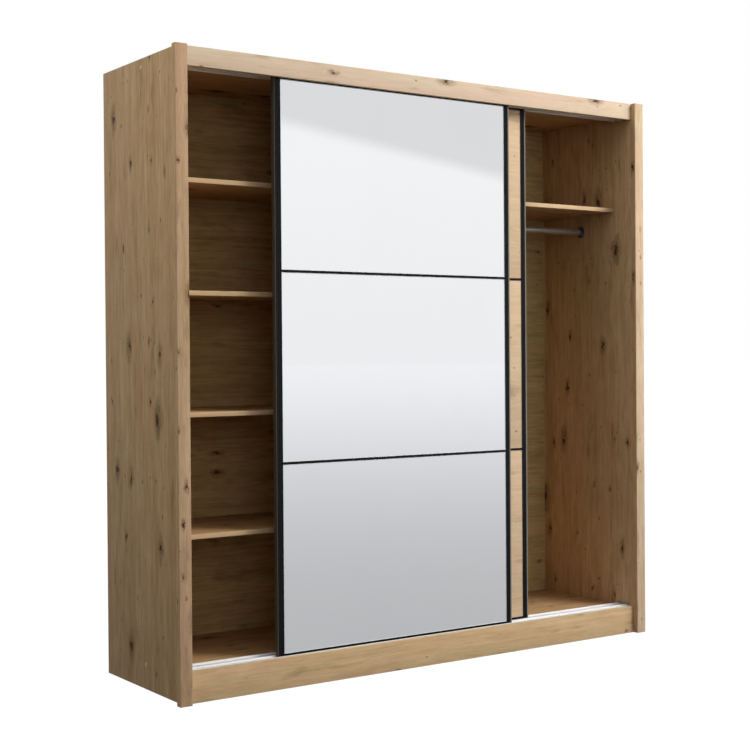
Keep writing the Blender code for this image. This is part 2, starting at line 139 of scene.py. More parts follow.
# How much the floor darkens in the mirror near the wardrobe: painted shade, fading out over
# FLOOR_FADE metres.
FLOOR_PAINTED_SHADE = 0.46
FLOOR_FADE = 9.5
FLOOR_BOUNCE = 0.03
FLOOR_WHITE = 0.95
WALL_WHITE = 0.955
CEILING_GREY = 0.795
CEILING_NORMAL = (0.1294, 0.2479, 0.9601)
CEILING_BLUR = 0.006
AMBIENT = 0.25

# Place, target, width, height, watts, and whether it shows in reflections
LIGHTS = {
    "key": ((3.0, -4.1, 4.3), (0.4, 0, 1.2), 2.2, 2.2, 280, False),
    "top": ((0.3, -2.2, 4.0), (0.1, -0.3, 1.6), 3.6, 1.6, 6, False),
    "left": ((-3.6, -0.6, 3.4), (-1.0, 0, 1.6), 1.8, 1.8, 33, False),
    "front": ((1.6, -6.0, 1.6), (0.2, 0, 1.2), 2.4, 2.4, 44, False),
    "fill": ((-2.4, -5.2, 2.0), (-0.4, 0, 1.1), 1.6, 1.6, 14, False),
    "rear": ((0.8, 5.0, 3.4), (0.0, 0.3, 1.0), 2.6, 2.6, 200, False),
    "strip": ((5.2, -3.0, 1.5), (0.0, -0.3, 1.1), 0.5, 3.0, 50, True),
}

CAMERA_PLACE = (-2.973, -4.503, 1.113)
CAMERA_YAW = 0.6403
CAMERA_PITCH = -0.0103
CAMERA_ROLL = -0.0065
CAMERA_LENS = 69.4
CAMERA_SHIFT = (-0.1337, -0.0085)


def srgb(red, green, blue):
    """A linear colour from 8-bit display values."""

    def linear(value):
        value /= 255
        return value / 12.92 if value <= 0.04045 else ((value + 0.055) / 1.055) ** 2.4

    return (linear(red), linear(green), linear(blue), 1.0)


def scaled(colour, factor):
    return tuple(channel * factor for channel in colour[:3]) + (1.0,)


# ---------------------------------------------------------------- materials


class Shader:
    """A node tree, with short names for the nodes that it is made of."""

    def __init__(self, name, tree=None):
        if tree:
            self.tree = tree
            return
        self.material = bpy.data.materials.new(name)
        self.material.use_nodes = True
        self.tree = self.material.node_tree
        self.surface = self.tree.nodes["Principled BSDF"]

    def set(self, **values):
        for socket, value in values.items():
            self.surface.inputs[socket.replace("_", " ")].default_value = value

    def plug(self, socket, output):
        self.tree.links.new(output, self.surface.inputs[socket])

    def feed(self, socket, value):
        """Links an output to a socket, or sets a constant on it."""
        if isinstance(value, bpy.types.NodeSocket):
            self.tree.links.new(value, socket)
        else:
            socket.default_value = value

    def node(self, kind, inputs=(), **settings):
        node = self.tree.nodes.new(kind)
        for key, value in settings.items():
            setattr(node, key, value)
        for key, value in dict(inputs).items():
            self.feed(node.inputs[key], value)
        return node

    def math(self, operation, first, second=0.0):
        inputs = {0: first, 1: second}
        return self.node("ShaderNodeMath", inputs, operation=operation).outputs[0]

    def add(self, first, second):
        return self.math("ADD", first, second)

    def times(self, first, second):
        return self.math("MULTIPLY", first, second)

    def less(self, first, second):
        return self.math("SUBTRACT", first, second)

    def over(self, first, second):
        return self.math("DIVIDE", first, second)

    def power(self, first, second):
        return self.math("POWER", first, second)

    def length(self, first, second):
        squares = self.add(self.power(first, 2.0), self.power(second, 2.0))
        return self.math("SQRT", squares)

    def combine(self, x, y, z=0.0):
        return self.node("ShaderNodeCombineXYZ", {0: x, 1: y, 2: z}).outputs[0]

    def split(self, vector):
        return self.node("ShaderNodeSeparateXYZ", {0: vector}).outputs

    def noise(self, vector, scale=1.0, detail=2.0, roughness=0.5):
        inputs = {"Vector": vector, "Scale": scale, "Detail": detail, "Roughness": roughness}
        return self.node("ShaderNodeTexNoise", inputs).outputs["Fac"]

    def ramp(self, factor, start, end, low=0.0, high=1.0, smooth=True):
        """A value that goes from low to high while factor goes from start to end."""
        inputs = {"Value": factor, 1: start, 2: end, 3: low, 4: high}
        kind = "SMOOTHSTEP" if smooth else "LINEAR"
        return self.node("ShaderNodeMapRange", inputs, interpolation_type=kind).outputs[0]

    def mix(self, factor, first, second, blend="MIX"):
        """A colour between two others."""
        node = self.node("ShaderNodeMix", data_type="RGBA", blend_type=blend)
        for index, value in ((0, factor), (6, first), (7, second)):
            self.feed(node.inputs[index], value)
        return node.outputs[2]

    def blend(self, factor, low, high):
        """A plain value between two others."""
        inputs = {0: factor, 2: low, 3: high}
        return self.node("ShaderNodeMix", inputs, data_type="FLOAT").outputs[0]

    def place(self):
        return self.node("ShaderNodeTexCoord").outputs["Object"]

    def grain(self):
        return self.node("ShaderNodeUVMap", uv_map="grain").outputs[0]

    def bump(self, height, strength, distance):
        inputs = {"Strength": strength, "Distance": distance, "Height": height}
        self.plug("Normal", self.node("ShaderNodeBump", inputs).outputs[0])


def knots(shader, u, v, cell_u, cell_v, share, smallest, largest):
    """Scattered knots: how far a point is from its nearest knot, along and across the grain.

    Both distances are in knot sizes, and the third output is the one across in metres.
    """
    cells = shader.combine(shader.over(u, cell_u), shader.over(v, cell_v))
    inputs = {"Vector": cells, "Scale": 1.0, "Randomness": 0.9}
    spread = shader.node("ShaderNodeTexVoronoi", inputs, voronoi_dimensions="2D")
    chance, size, _ = shader.split(spread.outputs["Color"])
    centre = shader.split(spread.outputs["Position"])
    here = shader.split(cells)
    du = shader.times(shader.less(here[0], centre[0]), cell_u)
    dv = shader.times(shader.less(here[1], centre[1]), cell_v)
    size = shader.ramp(shader.power(size, 2.0), 0.0, 1.0, smallest, largest, smooth=False)
    shown = shader.math("LESS_THAN", chance, share)
    radius = shader.math("MAXIMUM", shader.times(size, shown), 0.01 * MM)
    return shader.over(du, radius), shader.over(dv, radius), dv


def reach(shader, along, across, stretch):
    """Distance from a knot's middle, with the knot drawn out along the grain."""
    return shader.length(shader.over(along, stretch), across)


def wander(shader, u, v, size):
    """Grain coordinates bent a little, so that no knot is an even oval."""
    bend_u, bend_v = (
        shader.noise(shader.combine(shader.times(u, 24), shader.times(v, rate)), detail=3.0)
        for rate in (46, 51)
    )
    bent_u = shader.add(u, shader.times(shader.less(bend_u, 0.5), 0.06 * size))
    bent_v = shader.add(v, shader.times(shader.less(bend_v, 0.5), 0.035 * size))
    return bent_u, bent_v


def flow_round_knots(shader, u, v, along, across, dv):
    """Where a point's fibre lies across the board: it sways, and bends round each knot."""
    far = reach(shader, along, across, 1.2)
    near = shader.power(2.718, shader.times(shader.power(far, 2.0), -0.09))
    sway = shader.noise(shader.combine(shader.times(u, 1.4), shader.times(v, 3.0)), detail=3.0)
    sway = shader.times(shader.less(sway, 0.5), 0.045)
    push = shader.times(shader.times(dv, near), -0.7)
    return shader.add(shader.add(v, sway), push)


def print_fibres(shader, streaks, light, dark, contrast, cool):
    """The wood between the knots: its colour, the streaks for its sheen, and its relief."""
    broad = streaks(1.2, 15.0, 3.0)
    middle = streaks(3.0, 90.0, 3.0)
    fine = streaks(15.0, 330.0, 3.0, 0.6)
    cloud = streaks(9.0, 26.0, 5.0, 0.6)
    tone = shader.add(shader.times(broad, 0.2), shader.times(middle, 0.28))
    tone = shader.add(tone, shader.add(shader.times(fine, 0.3), shader.times(cloud, 0.22)))
    spread = 0.15 / contrast
    tone = shader.ramp(tone, 0.5 - spread, 0.5 + spread, smooth=False)
    colour = shader.mix(tone, dark, light)
    smudge = shader.ramp(streaks(4.5, 21.0, 4.0, 0.6), 0.56, 0.74)
    colour = shader.mix(shader.times(smudge, 0.65), colour, scaled(dark, 0.7))
    hue = shader.ramp(streaks(1.6, 26.0, 2.0), 0.38, 0.62)
    tint = shader.mix(hue, (1.0, 0.955, 0.935, 1), (0.95, 1.0, 0.92, 1))
    colour = shader.mix(cool, colour, tint, "MULTIPLY")
    pores = shader.ramp(streaks(60.0, 1300.0, 1.0), 0.60, 0.72)
    colour = shader.mix(shader.times(pores, 0.3), colour, dark)
    veins = shader.ramp(streaks(2.2, 70.0, 5.0, 0.65), 0.63, 0.74)
    colour = shader.mix(shader.times(veins, 0.45), colour, scaled(dark, 0.86))
    relief = shader.less(shader.times(fine, 0.6), shader.times(pores, 0.8))
    return colour, middle, relief


def print_knots(shader, u, v, along, across, share, size, colour, dark):
    """Adds a patchy halo, small specks and a ragged dark core; also returns where it is dark."""
    knot = srgb(*KNOT)
    patches = shader.noise(shader.combine(shader.times(u, 75), shader.times(v, 210)), detail=3.0)
    patches = shader.ramp(patches, 0.3, 0.7, 0.35, 1.0)
    tail = shader.ramp(reach(shader, along, across, 2.6), 2.5, 0.6, 0.0, 0.8)
    halo = shader.mix(0.5, scaled(dark, 0.56), knot)
    colour = shader.mix(shader.times(tail, patches), colour, halo)
    ragged = shader.combine(shader.times(u, 90 / size), shader.times(v, 150 / size))
    ragged = shader.ramp(shader.noise(ragged, detail=4.0), 0.3, 0.7, 0.5, 1.75, smooth=False)
    small_u, small_v, _ = knots(shader, u, v, 0.12, 0.05, share * 0.8, 1.2 * MM, 4.0 * MM)
    speck = shader.times(reach(shader, small_u, small_v, 1.8), ragged)
    speck = shader.ramp(speck, 1.6, 0.6, 0.0, 0.7)
    core = shader.times(reach(shader, along, across, 1.5), ragged)
    core = shader.ramp(core, 1.1, 0.6)
    heart = shader.math("MAXIMUM", core, speck)
    return shader.mix(shader.times(heart, 0.88), colour, knot), heart


def oak(name, light, dark, share, contrast=1.0, size=1.0, roughness=0.5, cool=0.6):
    """Knotty oak print: soft fibres that flow round ragged knots, pores, and a satin face.

    A knot stands in this share of the cells that divide the board, and size scales both.
    """
    shader = Shader(name)
    light, dark = srgb(*light), srgb(*dark)
    u, v, _ = shader.split(shader.grain())
    cell_u, cell_v = 0.2 * size, 0.115 * size
    smallest, largest = 3.6 * MM * size, 17.0 * MM * size
    bent = wander(shader, u, v, size)
    along, across, dv = knots(shader, *bent, cell_u, cell_v, share, smallest, largest)
    flow = flow_round_knots(shader, u, v, along, across, dv)

    def streaks(lengthwise, crosswise, detail, roughness=0.5):
        """Noise drawn out along the fibres; the first two numbers are its scale per metre."""
        place = shader.combine(shader.times(u, lengthwise), shader.times(flow, crosswise))
        return shader.noise(place, detail=detail, roughness=roughness)

    colour, sheen, relief = print_fibres(shader, streaks, light, dark, contrast, cool)
    colour, heart = print_knots(shader, u, v, along, across, share, size, colour, dark)
    shader.plug("Base Color", colour)
    shader.plug("Roughness", shader.ramp(sheen, 0.3, 0.7, roughness + 0.07, roughness - 0.05))
    shader.bump(shader.less(relief, shader.times(heart, 0.8)), 0.22, 0.12 * MM)
    shader.set(Specular_IOR_Level=0.02)
    return shader.material


def brushed(name, colour, roughness, metallic, stretch, gloss):
    """Drawn, brushed or painted metal: hair lines along one axis, and a slightly uneven gloss."""
    shader = Shader(name)
    colour, wear = srgb(*colour), 0.06
    mapping = shader.node("ShaderNodeMapping", {"Vector": shader.place(), "Scale": stretch})
    lines = shader.noise(mapping.outputs[0], detail=3.0, roughness=0.6)
    cloud = shader.noise(shader.place(), scale=14.0, detail=4.0)
    shade = shader.mix(shader.ramp(lines, 0.3, 0.7), scaled(colour, 0.84), colour)
    shader.plug("Base Color", shade)
    sheen = shader.add(shader.times(lines, 0.6), shader.times(cloud, 0.4))
    shader.plug("Roughness", shader.ramp(sheen, 0.3, 0.7, roughness - wear, roughness + wear))
    shader.bump(lines, 0.12, 0.05 * MM)
    shader.set(Metallic=metallic, Specular_IOR_Level=gloss)
    return shader.material


def moulded(name, colour, roughness, gloss):
    """Moulded plastic: a fine spark-eroded texture with a faint mottling."""
    shader = Shader(name)
    colour, wear = srgb(*colour), 0.06
    skin = shader.noise(shader.place(), scale=1800.0)
    mottle = shader.noise(shader.place(), scale=45.0, detail=3.0)
    shade = shader.mix(shader.ramp(mottle, 0.35, 0.65), scaled(colour, 0.86), colour)
    shader.plug("Base Color", shade)
    shader.plug("Roughness", shader.ramp(skin, 0.3, 0.7, roughness - wear, roughness + wear))
    shader.bump(skin, 0.2, 0.08 * MM)
    shader.set(Specular_IOR_Level=gloss)
    return shader.material


def silvered(name):
    """Mirror glass: almost clean, with a trace of dust that dulls it a little."""
    shader = Shader(name)
    dust = shader.noise(shader.place(), scale=6.0, detail=6.0, roughness=0.65)
    dust = shader.ramp(dust, 0.42, 0.85)
    clean, dull = (0.886, 0.890, 0.902, 1), (0.870, 0.875, 0.888, 1)
    shader.plug("Base Color", shader.mix(dust, clean, dull))
    shader.plug("Roughness", shader.ramp(dust, 0.0, 1.0, 0.006, 0.03))
    shader.set(Metallic=1.0)
    return shader.material


MATERIALS = {name: oak(name, **recipe) for name, recipe in OAKS.items()}
MATERIALS.update({name: brushed(name, *recipe) for name, recipe in METALS.items()})
MATERIALS.update({name: moulded(name, *recipe) for name, recipe in PLASTICS.items()})
MATERIALS["mirror_panel"] = silvered("mirror_panel")


# ---------------------------------------------------------------- mesh helpers


def carve(piece, low, high):
    """Cuts a box out of a piece, and keeps the result as its mesh."""
    cutter = bpy.data.objects.new("cutter", bpy.data.meshes.new("cutter"))
    bm = block(low, high)
    bm.to_mesh(cutter.data)
    bm.free()
    bpy.context.scene.collection.objects.link(cutter)
    modifier = piece.modifiers.new("notch", "BOOLEAN")
    modifier.object = cutter
    modifier.solver = "EXACT"
    graph = bpy.context.evaluated_depsgraph_get()
    mesh = bpy.data.meshes.new_from_object(piece.evaluated_get(graph))
    piece.modifiers.clear()
    piece.data = mesh
    bpy.data.objects.remove(cutter)


def add_piece(name, bm, materials, body, node=None, smooth=None, notch=None):
    """Links the bmesh as a piece of a CAD body, in place of a CAD node if one is named."""
    mesh = bpy.data.meshes.new(name)
    bm.to_mesh(mesh)
    bm.free()
    for material in materials:
        mesh.materials.append(MATERIALS[material])
    piece = bpy.data.objects.new(name, mesh)
    bpy.context.scene.collection.objects.link(piece)
    if notch:
        carve(piece, *notch)
    if smooth:
        piece.data.shade_smooth()
        piece.data.set_sharp_from_angle(angle=math.radians(smooth))
    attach(piece, body)
    if node:
        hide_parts(node)
    return piece


def merge(bm, other, material=0):
    """Adds another closed shell to the bmesh, and frees it."""
    for face in other.faces:
        face.material_index = material
    mesh = bpy.data.meshes.new("shell")
    other.to_mesh(mesh)
    other.free()
    bm.from_mesh(mesh)
    bpy.data.meshes.remove(mesh)


def block(low, high, bevel=0.0, segments=2, crisp=()):
    """A box with rounded edges, apart from the edges of the faces named in crisp, such as +Y."""
    low, high = Vector(low), Vector(high)
    bm = bmesh.new()
    bmesh.ops.create_cube(bm, size=1.0)
    bmesh.ops.scale(bm, vec=high - low, verts=bm.verts)
    bmesh.ops.translate(bm, vec=(low + high) / 2, verts=bm.verts)
    for sign, axis in crisp:
        place = (high if sign == "+" else low)[AXES[axis]]
        for edge in bm.edges:
            if all(abs(vert.co[AXES[axis]] - place) < 0.01 * MM for vert in edge.verts):
                edge.tag = True
    if bevel:
        edges = [edge for edge in bm.edges if not edge.tag]
        bmesh.ops.bevel(
            bm, geom=edges, offset=bevel, segments=segments, affect="EDGES", profile=0.5
        )
    return bm


def round_corners(outline, steps=4):
    """Turns each (x, y, radius) corner of an outline into an arc."""
    points = []
    count = len(outline)
    for index, (x, y, radius) in enumerate(outline):
        corner = Vector((x, y))
        before = Vector(outline[index - 1][:2]) - corner
        after = Vector(outline[(index + 1) % count][:2]) - corner
        half = before.angle(after) / 2
        back = min(radius / math.tan(half), before.length * 0.48, after.length * 0.48)
        if back < 0.01 * MM:
            points.append(corner)
            continue
        inward = (before.normalized() + after.normalized()).normalized()
        centre = corner + inward * (back / math.cos(half))
        start = corner + before.normalized() * back - centre
        end = corner + after.normalized() * back - centre
        sweep = math.atan2(start.x * end.y - start.y * end.x, start.dot(end))
        for step in range(steps + 1):
            points.append(centre + Matrix.Rotation(sweep * step / steps, 2) @ start)
    return points


def extrusion(outline, axis, start, end, origin=(0, 0, 0)):
    """A closed outline with rounded corners, drawn out along X or Z between two places."""
    bm = bmesh.new()
    points = round_corners(outline)
    ends = []
    for distance in (start, end):
        ring = []
        for point in points:
            spot = (distance, *point) if axis == "X" else (*point, distance)
            ring.append(bm.verts.new(Vector(spot) + Vector(origin)))
        ends.append(ring)
    count = len(points)
    for index in range(count):
        after = (index + 1) % count
        bm.faces.new((ends[0][index], ends[0][after], ends[1][after], ends[1][index]))
    for ring in ends:
        bm.faces.new(ring)
    bmesh.ops.recalc_face_normals(bm, faces=bm.faces)
    return bm


def lay_grain(bm, low, high, grain, seed):
    """Writes the grain map, in metres, and tells the flat faces from the banded edges."""
    size = high - low
    thick = min(range(3), key=lambda axis: size[axis])
    layer = bm.loops.layers.uv.new("grain")
    draw = random.Random(seed)
    shift_u, shift_v = draw.uniform(0, 90), draw.uniform(0, 90)
    for face in bm.faces:
        out = max(range(3), key=lambda axis: abs(face.normal[axis]))
        plane = [axis for axis in range(3) if axis != out]
        along = grain if out == thick else max(plane, key=lambda axis: size[axis])
        across = next(axis for axis in plane if axis != along)
        face.material_index = 0 if abs(face.normal[thick]) > 0.4 else 1
        for loop in face.loops:
            spot = loop.vert.co
            loop[layer].uv = (spot[along] + shift_u, spot[across] + shift_v)


def board(node, grain, face="oak", edge="oak_edge", body="carcass", **rounding):
    """A board with banded edges, in place of the CAD node."""
    low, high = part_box(node)
    bm = block(low, high, **{"bevel": BOARD_EDGE, **rounding})
    bm.normal_update()
    lay_grain(bm, low, high, AXES[grain], node)
    return add_piece(f"{node}_board", bm, [face, edge], body, node, smooth=40)


def placed(bm, direction, place):
    """Turns a shape made along +Z to a direction, and moves it to its place."""
    turn = Vector((0, 0, 1)).rotation_difference(Vector(direction)).to_matrix().to_4x4()
    bmesh.ops.transform(bm, matrix=Matrix.Translation(place) @ turn, verts=bm.verts)
    bmesh.ops.recalc_face_normals(bm, faces=bm.faces)
    return bm


def lathe(profile, direction, place, steps=64):
    """A closed profile of (radius, distance) turned about a direction from a place."""
    bm = bmesh.new()
    rings = []
    for step in range(steps):
        angle = 2 * math.pi * step / steps
        turn = Vector((math.cos(angle), math.sin(angle), 0))
        rings.append([bm.verts.new(turn * r + Vector((0, 0, d))) for r, d in profile])
    for step in range(steps):
        here, after = rings[step], rings[(step + 1) % steps]
        for index in range(len(profile)):
            following = (index + 1) % len(profile)
            bm.faces.new((here[index], after[index], after[following], here[following]))
    bmesh.ops.remove_doubles(bm, verts=bm.verts, dist=0.001 * MM)
    return placed(bm, direction, place)


def screw(direction, place, radius):
    """A pan head screw with a cross recess, standing on a surface."""
    steps = 24
    height = 0.5 * radius
    cross = [0.52 if min(step % 6, 6 - step % 6) <= 1 else 0.2 for step in range(steps)]
    plain = [1.0] * steps
    rings = [(plain, 1.0, 0.0), (plain, 1.0, 0.3), (plain, 0.88, 0.72), (plain, 0.62, 1.0)]
    rings += [(cross, 1.0, 1.0), (cross, 0.78, 0.35)]
    bm = bmesh.new()
    loops = []
    for shape, width, rise in rings:
        loop = []
        for step in range(steps):
            angle = 2 * math.pi * step / steps
            out = radius * width * shape[step]
            loop.append(bm.verts.new((out * math.cos(angle), out * math.sin(angle), height * rise)))
        loops.append(loop)
    for lower, upper in zip(loops, loops[1:]):
        for step in range(steps):
            after = (step + 1) % steps
            bm.faces.new((lower[step], lower[after], upper[after], upper[step]))
    bm.faces.new(loops[0])
    bm.faces.new(loops[-1])
    return placed(bm, direction, place)


# ---------------------------------------------------------------- the carcass


def dress_boards():
    """Edges that butt against another board stay crisp, so that no light shows in the joint."""
    # The right post takes the paler copy of the post oak, which is painted light.
    for side, post in zip(SIDES, ("oak_post", "oak_post_painted_light")):
        board(f"{side}_side_panel", "Z")
        node = f"{side}_front_post"
        board(node, "Z", post, "oak", bevel=POST_EDGE, segments=4, crisp=["+Y"])
    # The top rail takes the paler copy of the oak, which is painted light.
    for node, face in (("top_rail", "oak_rail_painted_light"), ("front_plinth", "oak_plinth")):
        board(node, "X", face, bevel=FASCIA_EDGE, segments=3, crisp=["-X", "+X"])
    # The inside boards take the darker copy of the oak, which is painted shade.
    for node in ("top_panel", "bottom_panel", "rear_plinth", "right_shelf"):
        board(node, "X", "oak_inside_painted_shade")
    board("centre_support", "Y", "oak_inside_painted_shade")
    board("centre_divider", "Z", "oak_inside_painted_shade")
    for number in range(1, 5):
        board(f"left_shelf_{number}", "X", "oak_inside_painted_shade")


def dress_back_panel(side, pins):
    """A hardboard panel, printed on the inside only, with pins along its outer edges."""
    node = f"{side}_back_panel"
    piece = board(node, "X", "hardboard", "hardboard", bevel=0.2 * MM)
    piece.data.materials.append(MATERIALS["hardboard_rear"])
    for polygon in piece.data.polygons:
        if polygon.normal.y > 0.9:
            polygon.material_index = 2
    low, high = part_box(node)
    outer = low.x + PIN_INSET if side == "left" else high.x - PIN_INSET
    bottom, top = low.z + PIN_INSET, high.z - PIN_INSET
    upright = round((high.z - low.z) / PIN_PITCH)
    spots = [(outer, bottom + (top - bottom) * step / upright) for step in range(upright + 1)]
    across = round((high.x - low.x) / PIN_PITCH)
    for step in range(1, across):
        x = low.x + (high.x - low.x) * step / across
        spots += [(x, bottom), (x, top)]
    dome = [(0, 0), (PIN_HEAD, 0), (0.8 * PIN_HEAD, 0.25 * PIN_HEAD), (0, 0.38 * PIN_HEAD)]
    for x, z in spots:
        merge(pins, lathe(dome, (0, 1, 0), (x, high.y, z), 16))


def dress_back():
    """Two pinned panels, and the ridged strip that joins them."""
    pins = bmesh.new()
    for side in SIDES:
        dress_back_panel(side, pins)
    add_piece("back_panel_pins", pins, ["bracket_steel"], "carcass", smooth=35)
    node = "back_joint_strip"
    low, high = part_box(node)
    wide, deep, ridge = high.x - low.x, high.y - low.y, 3 * MM
    middle = wide / 2
    outline = [(0, 0, 0), (wide, 0, 0), (wide, deep * 0.5, 0.2 * MM)]
    outline += [(middle + ridge, deep * 0.8, 0.3 * MM), (middle + ridge * 0.8, deep, 0.1 * MM)]
    outline += [(middle - ridge * 0.8, deep, 0.1 * MM), (middle - ridge, deep * 0.8, 0.3 * MM)]
    outline += [(0, deep * 0.5, 0.2 * MM)]
    bm = extrusion(outline, "Z", low.z, high.z, (low.x, low.y, 0))
    strip = ["strip_plastic"]
    add_piece("back_strip_moulding", bm, strip, "carcass", node, smooth=40)


def dress_caps():
    """Domed cover caps over the side panels' fixings."""
    for side in SIDES:
        for end in ("top", "bottom"):
            node = f"{side}_{end}_cover_cap"
            low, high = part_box(node)
            middle = (low + high) / 2
            radius = (high.z - low.z) / 2 + 1.0 * MM
            outer = low.x if side == "left" else high.x
            profile = [(0, 0.02 * MM), (radius, 0.02 * MM), (radius, 0.35 * MM)]
            profile += [(radius * 0.9, 0.62 * MM), (radius * 0.5, 0.85 * MM), (0, 0.9 * MM)]
            bm = lathe(profile, (-INWARD[side], 0, 0), (outer, middle.y, middle.z), 48)
            add_piece(f"{node}_dome", bm, ["cap_plastic"], "carcass", node, smooth=50)


def dress_shelves():
    """Steel pins under both ends of each shelf."""
    pins = bmesh.new()
    radius, length, setback = 2.5 * MM, 7 * MM, 45 * MM
    shoulder = [(0, 0), (radius * 1.7, 0), (radius * 1.7, 1.2 * MM), (radius, 1.4 * MM)]
    shoulder += [(radius, length - 0.5 * MM), (radius - 0.5 * MM, length), (0, length)]
    for node in ("left_shelf_1", "left_shelf_2", "left_shelf_3", "left_shelf_4", "right_shelf"):
        low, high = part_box(node)
        for x, out in ((low.x, 1), (high.x, -1)):
            for y in (low.y + setback, high.y - setback):
                place = (x, y, low.z - radius * 1.75)
                merge(pins, lathe(shoulder, (out, 0, 0), place, 24))
    add_piece("shelf_pins", pins, ["bracket_steel"], "carcass", smooth=40)


def dress_hanging_rail():
    low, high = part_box("hanging_rail")
    middle = (low + high) / 2
    radius, wall, length = (high.z - low.z) / 2, 1 * MM, high.x - low.x
    edge = 0.3 * MM
    ring = [(radius - wall, 0), (radius - edge, 0), (radius, edge)]
    ring += [(radius, length - edge), (radius - edge, length), (radius - wall, length)]
    bm = lathe(ring, (1, 0, 0), (low.x, middle.y, middle.z))
    add_piece("hanging_rail_tube", bm, ["rail_steel"], "carcass", "hanging_rail", smooth=40)
    for side in SIDES:
        dress_rail_flange(side, radius, middle)


def dress_rail_flange(side, tube, middle):
    """A turned flange with a socket round the tube, and three screws through its plate."""
    node = f"rail_flange_{side}"
    low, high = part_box(node)
    out = INWARD[side]
    flange, plate, deep = (high.z - low.z) / 2, 4 * MM, high.x - low.x
    socket, bore = tube + 3.3 * MM, tube + 0.3 * MM
    profile = [(bore, 0), (flange - 0.8 * MM, 0), (flange, 0.8 * MM)]
    profile += [(flange, plate - 1.6 * MM), (flange - 0.5 * MM, plate - 0.6 * MM)]
    profile += [(flange - 1.8 * MM, plate), (socket + 1.5 * MM, plate)]
    profile += [(socket + 0.4 * MM, plate + 0.4 * MM), (socket, plate + 1.5 * MM)]
    profile += [(socket - 0.2 * MM, deep - 0.8 * MM), (socket - 0.9 * MM, deep)]
    profile += [(bore + 0.4 * MM, deep), (bore, deep - 0.4 * MM)]
    place = Vector((low.x if side == "left" else high.x, middle.y, middle.z))
    bm = lathe(profile, (out, 0, 0), place)
    for turn in range(3):
        angle = math.pi / 2 + 2 * math.pi * turn / 3
        spot = Vector((plate * out, math.cos(angle), math.sin(angle)))
        spot.yz = spot.yz * (socket + flange) / 2
        merge(bm, screw((out, 0, 0), place + spot, 2.3 * MM), 1)
    add_piece(f"{node}_cup", bm, ["black_plastic", "bracket_steel"], "carcass", node, smooth=40)


def add_track_screws(bm, low, high, direction, rows):
    """Rows of screws along a track, each row given by its place across and its height."""
    start = low.x + TRACK_SCREW_INSET
    length = high.x - low.x - 2 * TRACK_SCREW_INSET
    for step in range(TRACK_SCREWS):
        x = start + length * step / (TRACK_SCREWS - 1)
        for y, z in rows:
            merge(bm, screw(direction, (x, y, z), TRACK_SCREW), 1)


def dress_lower_track():
    """A drawn aluminium track with two rounded ridges between low lips."""
    low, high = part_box("lower_track")
    deep = high.y - low.y
    lip, lip_height, base, crest = 2 * MM, 3.2 * MM, 1.2 * MM, 6.2 * MM
    small, half, foot = 0.35 * MM, 0.8 * MM, 2.2 * MM
    shoulder = base + 1.6 * MM
    outline = [(0, 0, 0), (deep, 0, 0), (deep, lip_height, small)]
    outline += [(deep - lip, lip_height, small), (deep - lip, base, small)]
    for middle in (66.5 * MM, 22.5 * MM):
        outline += [(middle + foot, base, 0.5 * MM), (middle + half, shoulder, 0.6 * MM)]
        outline += [(middle + half, crest, 0.7 * MM), (middle - half, crest, 0.7 * MM)]
        outline += [(middle - half, shoulder, 0.6 * MM), (middle - foot, base, 0.5 * MM)]
    outline += [(lip, base, small), (lip, lip_height, small), (0, lip_height, small)]
    bm = extrusion(outline, "X", low.x, high.x, (0, low.y, low.z))
    rows = [(low.y + 12 * MM, low.z + base), (low.y + 44.5 * MM, low.z + base)]
    add_track_screws(bm, low, high, (0, 0, 1), rows)
    metals = ["aluminium_track", "bracket_steel"]
    add_piece("lower_track_rail", bm, metals, "carcass", "lower_track", smooth=35)


def dress_upper_track():
    """A drawn aluminium track with three hanging flanges, and a lane between each two."""
    low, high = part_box("upper_track")
    tall = high.z - low.z
    under = tall - 1.7 * MM
    flange, lane, gap = 2 * MM, 31 * MM, 13 * MM
    small, foot = 0.5 * MM, 0.8 * MM
    second = flange + lane
    third = second + gap + lane
    flanges = [(0, flange), (second, second + gap), (third, third + flange)]
    outline = [(0, tall, small)]
    for index, (near, far) in enumerate(flanges):
        if index > 0:
            outline.append((near, under, small))
        outline += [(near, 0, foot), (far, 0, foot)]
        if index < 2:
            outline.append((far, under, small))
    outline.append((third + flange, tall, small))
    bm = extrusion(outline, "X", low.x, high.x, (0, low.y, low.z))
    rows = [(low.y + second + gap / 2, low.z)]
    add_track_screws(bm, low, high, (0, 0, -1), rows)
    metals = ["aluminium_dull", "bracket_steel"]
    add_piece("upper_track_rail", bm, metals, "carcass", "upper_track", smooth=35)


def dress_stops():
    """A stop at each end of the lower track, with a rubber bumper for each door."""
    radius, tip = 2.2 * MM, 0.5 * MM
    bumper = [(0, -tip), (radius, -tip), (radius, 0.2 * MM), (0, tip)]
    for side in SIDES:
        node = f"{side}_door_stop"
        low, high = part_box(node)
        bm = block(low, high, 0.9 * MM, 3)
        face = high.x if side == "left" else low.x
        for y in (low.y + 11 * MM, high.y - 11 * MM):
            place = (face, y, (low.z + high.z) / 2)
            merge(bm, lathe(bumper, (INWARD[side], 0, 0), place, 24), 1)
        plastics = ["grey_plastic", "black_plastic"]
        add_piece(f"{node}_buffer", bm, plastics, "carcass", node, smooth=40)


# ---------------------------------------------------------------- the doors


